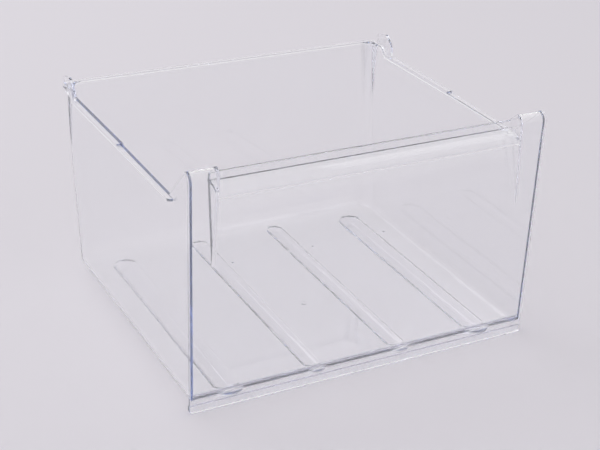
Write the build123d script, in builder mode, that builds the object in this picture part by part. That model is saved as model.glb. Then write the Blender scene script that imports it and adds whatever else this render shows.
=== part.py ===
"""Clear freezer drawer: one moulded tub with a front panel, grip recess, side rims and fluted base.

Millimetres, +Z up, front panel facing -Y, origin at the middle of the footprint on the ground.
Depths are measured from the front face towards the back.
"""
import os
from math import atan2, hypot, radians, tan

from build123d import *

# Overall sizes
front_width = 400
front_taper = 2
panel_overhang = 1.5
body_depth = 353
back_flange = 4
back_draft_angle = 2.1
ear_top = 259.5

# Wall thicknesses
wall = 2.5
panel = 3
lip_wall = 2.6
gusset = 2.8

# Front panel
ear_roll = 9.5
panel_corner = 3
bead_depth = 5

# Grip recess: heights are drops from the top of the ears
ear_width = 27
ear_spread = 3.5
grip_bend_drop = 99
grip_depth = 19
lip_edge_drop = 29.3
lip_rise = 11.8
grip_top_drop = 10.5

# Rims: depths at the rear are set back from the rear edge of the flange
rim_drop = 41.3
rim_overhang = 3
rim_front = 41
rim_front_round = 4
rim_rear_round = 12
rim_step = 178
rim_step_rise = 2
rim_ramp_setback = 37
rim_thickness = 2.6
rim_rear_thickness = 5
back_rise = 6.8

# Tub corners: the rear ones are tight at the rim and wide at the floor, with a flat web inside their top
floor_round = 8
end_round = 14
corner_top_round = 1
corner_mid_round = 7
corner_mid_drop = 73.2
corner_foot_round = 24.5
corner_web = 19

# Base: rear ends are set back from the back wall
floor_top = 10
channel_brow_round = 3.5
channel_foot_round = 6
channel_edge = 0.5
runner_inset = 51
runner_width = 26
runner_foot_width = 12
runner_front = 10
runner_setback = 41
flute_spacing = 101
flute_width = 19
flute_foot_width = 10
flute_drop = 3.5
flute_front = 12
flute_setback = 30

# Rear stop tabs
tab_thickness = 3
tab_setback = 14
tab_length = 33
tab_back_length = 18
tab_rise = 22.3
tab_fall = 4

# Gate mark under the base
gate_depth = 139
gate_diameter = 6
gate_height = 0.8

# Worked-out places
quarter_turn = 90
overall_depth = body_depth + back_flange
front_y = -overall_depth / 2
back_lean = tan(radians(back_draft_angle))
side_lean = front_taper / ear_top
above = ear_top + panel
curve_height = ear_top - ear_roll
curve_centre = (ear_roll, curve_height)
grip_bend = ear_top - grip_bend_drop
grip_half_width = front_width / 2 - ear_width
grip_back = grip_depth + panel
grip_top = ear_top - grip_top_drop
lip_edge = ear_top - lip_edge_drop
lip_root = lip_edge + lip_rise
rim_height = ear_top - rim_drop
rim_half_width = front_width / 2 + rim_overhang
rim_ramp_foot = overall_depth - rim_ramp_setback
rim_ramp_crest = rim_ramp_foot + back_rise
back_top = rim_height + back_rise
notch_foot = ear_roll + rim_drop
corner_mid = rim_height - corner_mid_drop
floor_under = floor_top - wall
runner_drop = floor_under
runner_centre = front_width / 2 - runner_inset
runner_back = body_depth - runner_setback
flute_centre = flute_spacing / 2
flute_back = body_depth - flute_setback
tab_back = overall_depth - tab_setback
tab_front = tab_back - tab_length
tab_crest = tab_back - tab_back_length
tab_crest_height = rim_height + tab_rise
tab_back_height = tab_crest_height - tab_fall
side_plane = Plane(origin=(0, front_y, 0), x_dir=(0, 1, 0), z_dir=(1, 0, 0))
face_plane = Plane(origin=(0, front_y, 0), x_dir=(1, 0, 0), z_dir=(0, -1, 0))


def level(height):
    """Plane at a height whose second axis is the depth from the front face."""
    return Plane(origin=(0, front_y, height))


def back_depth(height, inset):
    """Depth of the leaning back wall at a height, set in from its outer face."""
    return body_depth - (back_top - height) * back_lean - inset


def tub_outline(height, inset, front, corner, size):
    """Plan of the tub at a height, set in from its leaning outer faces, with worked rear corners."""
    half = front_width / 2 - panel_overhang - (ear_top - height) * side_lean - inset
    back = back_depth(height, inset)
    with BuildSketch(level(height)) as plan:
        with Locations((0, (front + back) / 2)):
            Rectangle(2 * half, back - front)
        corner(plan.vertices().group_by(Axis.Y)[-1], size)
    return plan.sketch


def tub_form(floor, inset, front, cove_front, top_corner, top_size):
    """Solid tub down to a floor height, with wider rounds at the back of the floor and at cove_front."""
    plans = [
        tub_outline(floor, inset, front, fillet, corner_foot_round + wall - inset),
        tub_outline(corner_mid, inset, front, fillet, corner_mid_round + wall - inset),
        tub_outline(above, inset, front, top_corner, top_size),
    ]
    with BuildPart() as form:
        for lower, upper in zip(plans, plans[1:]):
            loft([lower, upper], ruled=True)
        fillet(form.edges().group_by(Axis.Z)[0].sort_by(Axis.Y)[1:], floor_round + wall - inset)
        with BuildSketch(side_plane) as side_view:
            with BuildLine():
                Polyline(
                    (cove_front, floor),
                    (back_depth(floor, inset), floor),
                    (back_depth(above, inset), above),
                    (cove_front, above),
                    close=True,
                )
            make_face()
            fillet(side_view.vertices().group_by(Axis.Y)[0], end_round + wall - inset)
        extrude(amount=front_width / 2, both=True, mode=Mode.INTERSECT)
    return form.part


def front_outline(height):
    """Front panel from the ground up to a height: leaning edges and rounded lower corners."""
    low_half = front_width / 2 - front_taper
    with BuildSketch(face_plane) as outline:
        with BuildLine():
            Polyline(
                (-low_half, 0),
                (low_half, 0),
                (front_width / 2, ear_top),
                (-front_width / 2, ear_top),
                close=True,
            )
        make_face()
        fillet(outline.vertices().group_by(Axis.Y)[0], panel_corner)
        Rectangle(front_width, height, align=(Align.CENTER, Align.MIN), mode=Mode.INTERSECT)
    return outline.sketch


def grip_outline(margin):
    """Opening of the grip recess in the front panel, from its bend line up past the ears."""
    slope = ear_spread / (lip_edge - grip_bend)
    low = grip_half_width + margin
    high = low - slope * (above - grip_bend)
    with BuildSketch(face_plane) as outline:
        with BuildLine():
            Polyline((-low, grip_bend), (low, grip_bend), (high, above), (-high, above), close=True)
        make_face()
    return outline.sketch


def channel(centre, front, back, width, foot_width, drop, skin):
    """Round-ended channel pressed down from the floor, grown outwards by the thickness of its skin."""
    run = (width - foot_width) / 2
    grow = skin * (hypot(drop, run) - run) / drop
    half = width / 2 + grow
    brow = floor_top - skin
    edge_round = channel_brow_round - skin
    reach = half + edge_round * tan(atan2(drop, run) / 2) + channel_edge + skin
    end_y = front_y + front + width / 2
    length = back - front - width
    with BuildSketch(Plane(origin=(centre, end_y, 0), x_dir=(1, 0, 0), z_dir=(0, -1, 0))) as profile:
        with BuildLine():
            Polyline(
                (0, brow - drop),
                (half - run, brow - drop),
                (half, brow),
                (reach, brow),
                (reach, brow + end_round),
                (0, brow + end_round),
                close=True,
            )
        make_face()
        fillet(profile.vertices().group_by(Axis.Y)[1].sort_by(Axis.X)[0], edge_round)
        fillet(profile.vertices().group_by(Axis.Y)[0].sort_by(Axis.X)[-1], channel_foot_round + skin)
    side = extrude(profile.sketch, amount=-length)
    mirror(side, about=Plane.YZ.offset(centre))
    for travel in (0, length):
        turned = profile.sketch.moved(Location((0, travel, 0)))
        revolve(turned, axis=Axis((centre, end_y + travel, 0), (0, 0, 1)))


def base_channels(skin):
    """The two deep runners that the drawer stands on and the two shallow flutes between them."""
    runner = (runner_front, runner_back, runner_width, runner_foot_width, runner_drop)
    flute = (flute_front, flute_back, flute_width, flute_foot_width, flute_drop)
    for side in (-1, 1):
        channel(side * runner_centre, *runner, skin)
        channel(side * flute_centre, *flute, skin)


def rim_line(front_drop, rear_drop):
    """Side view of the rim from its step to the back, lowered before and behind the step."""
    return [
        (rim_step, rim_height - front_drop),
        (rim_step, rim_height + rim_step_rise - rear_drop),
        (rim_ramp_foot, rim_height - rear_drop),
        (rim_ramp_crest, back_top - front_drop),
        (overall_depth, back_top - front_drop),
    ]


# Outer form of the tub, with the runners and flutes standing down from its floor
with BuildPart() as outer_form:
    add(tub_form(floor_under, 0, 0, panel - wall, fillet, corner_top_round + wall))
    base_channels(wall)

# Hollow of the tub, with the channels that the runners and flutes leave in its floor
with BuildPart() as inner_form:
    add(tub_form(floor_top, wall, panel, panel, chamfer, corner_web))
    base_channels(0)

# Front panel with a rolled top edge
with BuildPart() as front_panel:
    with BuildSketch(side_plane):
        with BuildLine():
            CenterArc(curve_centre, ear_roll, quarter_turn, quarter_turn)
            CenterArc(curve_centre, ear_roll - panel, quarter_turn, quarter_turn)
            Line((ear_roll, ear_top - panel), (ear_roll, ear_top))
            Polyline((0, curve_height), (0, 0), (panel, 0), (panel, curve_height))
        make_face()
    extrude(amount=front_width / 2, both=True)
    extrude(front_outline(ear_top), amount=-ear_roll, mode=Mode.INTERSECT)

# Rim flange along both sides and the back, with a raised step half way and a ramp up to the back wall
with BuildPart() as rim_flange:
    with BuildSketch(level(0)) as rim_plan:
        with Locations((0, (rim_front + overall_depth) / 2)):
            Rectangle(2 * rim_half_width, overall_depth - rim_front)
        fillet(rim_plan.vertices().group_by(Axis.Y)[-1], rim_rear_round)
        fillet(rim_plan.vertices().group_by(Axis.Y)[0], rim_front_round)
    extrude(amount=above)
    with BuildSketch(side_plane):
        with BuildLine():
            Polyline(
                (rim_front, rim_height),
                *rim_line(0, 0),
                *reversed(rim_line(rim_thickness, rim_rear_thickness)),
                (rim_front, rim_height - rim_thickness),
                close=True,
            )
        make_face()
    extrude(amount=rim_half_width, both=True, mode=Mode.INTERSECT)

# Grip: slanted panel, low wall above it and the rolled lip that the fingers pull on
with BuildPart() as grip:
    with BuildSketch(side_plane):
        with BuildLine():
            Polyline(
                (0, grip_bend),
                (grip_depth, lip_root),
                (grip_depth, grip_top),
                (grip_back, grip_top),
                (grip_back, lip_root),
                (panel, grip_bend),
                close=True,
            )
        make_face()
    with BuildSketch(side_plane):
        with Locations((grip_depth, lip_edge)):
            Ellipse(grip_depth, lip_rise)
            Ellipse(grip_depth - lip_wall, lip_rise - lip_wall, mode=Mode.SUBTRACT)
            Rectangle(grip_depth, lip_rise, align=(Align.MAX, Align.MIN), mode=Mode.INTERSECT)
    extrude(amount=grip_half_width + gusset, both=True)
    extrude(grip_outline(0), amount=-grip_back, mode=Mode.INTERSECT)

# Gussets: the two side cheeks that close the grip recess behind the ears
with BuildPart() as gussets:
    with BuildSketch(side_plane):
        with BuildLine():
            CenterArc(curve_centre, ear_roll, quarter_turn, quarter_turn)
            Polyline(
                (ear_roll, ear_top),
                (grip_back, grip_top),
                (grip_back, lip_root),
                (panel, grip_bend),
                (0, grip_bend),
                (0, curve_height),
            )
        make_face()
    extrude(amount=grip_half_width + gusset, both=True)
    extrude(grip_outline(gusset), amount=-grip_back, mode=Mode.INTERSECT)
    extrude(grip_outline(0), amount=-grip_back, mode=Mode.SUBTRACT)

# The moulding
with BuildPart() as drawer:
    add(outer_form.part)
    add(rim_flange.part)
    extrude(front_outline(floor_under), amount=-bead_depth)

    # Top line: rolled ears, notch behind them, rims and back wall
    with BuildSketch(side_plane):
        with BuildLine():
            CenterArc(curve_centre, ear_roll, quarter_turn, quarter_turn)
            Polyline(
                (ear_roll, ear_top),
                (notch_foot, rim_height),
                *rim_line(0, 0),
                (overall_depth, above),
                (0, above),
                (0, curve_height),
            )
        make_face()
    extrude(amount=rim_half_width, both=True, mode=Mode.SUBTRACT)
    add(inner_form.part, mode=Mode.SUBTRACT)

    # Front panel and its grip recess
    add(front_panel.part)
    extrude(grip_outline(0), amount=-ear_roll, mode=Mode.SUBTRACT)
    add(grip.part)
    add(gussets.part)

    # Rear stop tabs
    with BuildSketch(side_plane.offset(rim_half_width - tab_thickness)):
        with BuildLine():
            Polyline(
                (tab_crest, tab_crest_height),
                (tab_back, tab_back_height),
                (tab_back, back_top - rim_thickness),
                (tab_front, rim_height - rim_thickness),
                (tab_front, rim_height),
            )
            RadiusArc((tab_front, rim_height), (tab_crest, tab_crest_height), tab_rise)
        make_face()
    tab = extrude(amount=tab_thickness)
    mirror(tab, about=Plane.YZ)

    # Gate mark
    with BuildSketch(level(floor_under - gate_height)):
        with Locations((0, gate_depth)):
            Circle(gate_diameter / 2)
    extrude(amount=gate_height + wall / 2)

drawer.part.label = "drawer"

os.makedirs("parts", exist_ok=True)
export_step(drawer.part, "parts/drawer.step")
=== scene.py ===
"""Clear freezer drawer on a plain pale studio floor, seen from the photograph's angle."""
from math import radians

import bpy
from mathutils import Matrix, Vector

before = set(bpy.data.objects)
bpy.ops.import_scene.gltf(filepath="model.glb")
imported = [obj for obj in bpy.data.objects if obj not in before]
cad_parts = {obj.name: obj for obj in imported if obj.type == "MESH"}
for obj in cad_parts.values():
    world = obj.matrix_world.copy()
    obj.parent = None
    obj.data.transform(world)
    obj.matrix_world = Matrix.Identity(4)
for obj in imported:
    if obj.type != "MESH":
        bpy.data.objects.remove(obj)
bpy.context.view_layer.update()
scene = bpy.context.scene
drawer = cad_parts["drawer"]

# Clear polystyrene, in metres. The share that isn't clear lets light out of the edges.
clear_share = 0.97
refraction = 1.55
tint = (0.34, 0.48, 0.84, 1.0)
tint_density = 4.5
gloss_scale, gloss_detail = 14.0, 4.0
smoothest, roughest = 0.0, 0.05
wave_scale, wave_detail = 9.0, 1.0
wave_strength, wave_height = 0.25, 0.001
skin_scale, skin_detail = 260.0, 2.0
skin_strength, skin_height = 0.02, 0.0005

# Studio paper on the floor, just under the drawer's feet
paper_colour = (0.72, 0.70, 0.74, 1.0)
paper_roughness = 0.8
paper_gloss = 0.1
floor_side = 12
floor_height = -0.0004

# Soft box at the left rear, diffuser on the right and white surround
box_place = Vector((-0.6, 1.6, 2.4))
box_target = Vector((0.0, 0.1, 0.0))
box_side = 1.8
box_power = 12
diffuser_place = (1.05, 0.0, 1.3)
diffuser_tilt = 25.0
diffuser_side = 1.0
diffuser_strength = 1.4
surround_colour = (1.0, 0.985, 1.0, 1.0)
surround_low, surround_overhead = 0.91, 0.81
clear_bounces = 64
matt_bounces = 6

# Camera, fitted to the straight edges of the photograph
sensor_width = 36.0
focal_length = 81.75
camera_place = (-0.6419, -1.2089, 0.7724)
camera_right = Vector((0.88745, -0.45936, 0.03783))
camera_down = Vector((-0.17549, -0.41265, -0.89382))


def new_material(name):
    """A material with its node tree emptied down to the output node."""
    material = bpy.data.materials.new(name)
    material.use_nodes = True
    tree = material.node_tree
    tree.nodes.clear()
    output = tree.nodes.new("ShaderNodeOutputMaterial")
    return material, tree, output


def noise(tree, scale, detail, coordinates):
    """A noise texture on the given coordinates."""
    node = tree.nodes.new("ShaderNodeTexNoise")
    node.inputs["Scale"].default_value = scale
    node.inputs["Detail"].default_value = detail
    tree.links.new(coordinates, node.inputs["Vector"])
    return node.outputs["Fac"]


def spread(tree, value, start, end):
    """Maps a 0 to 1 value to a range."""
    node = tree.nodes.new("ShaderNodeMapRange")
    node.inputs["To Min"].default_value = start
    node.inputs["To Max"].default_value = end
    tree.links.new(value, node.inputs["Value"])
    return node.outputs["Result"]


def bump(tree, height, strength, distance, below=None):
    """A bump node, on top of another one if given."""
    node = tree.nodes.new("ShaderNodeBump")
    node.inputs["Strength"].default_value = strength
    node.inputs["Distance"].default_value = distance
    tree.links.new(height, node.inputs["Height"])
    if below is not None:
        tree.links.new(below, node.inputs["Normal"])
    return node.outputs["Normal"]


# Clear polystyrene: glossy, faintly blue through its length, with a moulded sheet's slow waves
plastic, tree, output = new_material("clear_polystyrene")
shader = tree.nodes.new("ShaderNodeBsdfPrincipled")
shader.inputs["Base Color"].default_value = (1.0, 1.0, 1.0, 1.0)
shader.inputs["Transmission Weight"].default_value = clear_share
shader.inputs["IOR"].default_value = refraction
place = tree.nodes.new("ShaderNodeTexCoord").outputs["Object"]
gloss = noise(tree, gloss_scale, gloss_detail, place)
tree.links.new(spread(tree, gloss, smoothest, roughest), shader.inputs["Roughness"])
wave_noise = noise(tree, wave_scale, wave_detail, place)
waves = bump(tree, wave_noise, wave_strength, wave_height)
skin_noise = noise(tree, skin_scale, skin_detail, place)
skin = bump(tree, skin_noise, skin_strength, skin_height, waves)
tree.links.new(skin, shader.inputs["Normal"])
body = tree.nodes.new("ShaderNodeVolumeAbsorption")
body.inputs["Color"].default_value = tint
body.inputs["Density"].default_value = tint_density
tree.links.new(shader.outputs["BSDF"], output.inputs["Surface"])
tree.links.new(body.outputs["Volume"], output.inputs["Volume"])
drawer.data.materials.clear()
drawer.data.materials.append(plastic)

# Studio paper: one plain pale colour
paper, tree, output = new_material("studio_paper")
shader = tree.nodes.new("ShaderNodeBsdfPrincipled")
shader.inputs["Base Color"].default_value = paper_colour
shader.inputs["Roughness"].default_value = paper_roughness
shader.inputs["Specular IOR Level"].default_value = paper_gloss
tree.links.new(shader.outputs["BSDF"], output.inputs["Surface"])
bpy.ops.mesh.primitive_plane_add(size=floor_side, location=(0, 0, floor_height))
floor = bpy.context.object
floor.name = "studio_floor"
floor.data.materials.append(paper)

# Soft box behind the drawer
box_data = bpy.data.lights.new("back_box", "AREA")
box_data.size = box_side
box_data.energy = box_power
box = bpy.data.objects.new("back_box", box_data)
box.location = box_place
box.rotation_euler = (box_target - box_place).to_track_quat("-Z", "Y").to_euler()
scene.collection.objects.link(box)

# Diffuser, which only shows where the plastic mirrors it or bends light from it
glow, tree, output = new_material("diffuser_glow")
shader = tree.nodes.new("ShaderNodeEmission")
shader.inputs["Strength"].default_value = diffuser_strength
tree.links.new(shader.outputs["Emission"], output.inputs["Surface"])
diffuser_turn = (0.0, radians(diffuser_tilt), 0.0)
bpy.ops.mesh.primitive_plane_add(
    size=diffuser_side, location=diffuser_place, rotation=diffuser_turn)
diffuser = bpy.context.object
diffuser.name = "studio_diffuser"
diffuser.data.materials.append(glow)
diffuser.visible_camera = False
diffuser.visible_diffuse = False
diffuser.visible_shadow = False

# White surround: brighter low down, as studio walls are, than overhead
world = bpy.data.worlds.new("studio")
world.use_nodes = True
tree = world.node_tree
sky = tree.nodes["Background"]
sky.inputs["Color"].default_value = surround_colour
towards = tree.nodes.new("ShaderNodeTexCoord").outputs["Generated"]
direction = tree.nodes.new("ShaderNodeSeparateXYZ")
tree.links.new(towards, direction.inputs["Vector"])
level = spread(tree, direction.outputs["Z"], surround_low, surround_overhead)
tree.links.new(level, sky.inputs["Strength"])
scene.world = world

scene.view_settings.view_transform = "Standard"

# Light crosses many clear walls before it leaves the drawer, and isn't blurred on its way
scene.cycles.max_bounces = clear_bounces
scene.cycles.transmission_bounces = clear_bounces
scene.cycles.glossy_bounces = clear_bounces
scene.cycles.diffuse_bounces = matt_bounces
scene.cycles.blur_glossy = 0.0

# Camera at the photograph's viewing angle
lens = bpy.data.cameras.new("photo_camera")
lens.sensor_fit = "HORIZONTAL"
lens.sensor_width = sensor_width
lens.lens = focal_length
camera = bpy.data.objects.new("photo_camera", lens)
camera_ahead = camera_right.cross(camera_down)
turn = Matrix((camera_right, -camera_down, -camera_ahead)).transposed()
camera.matrix_world = Matrix.Translation(camera_place) @ turn.to_4x4()
scene.collection.objects.link(camera)
scene.camera = camera
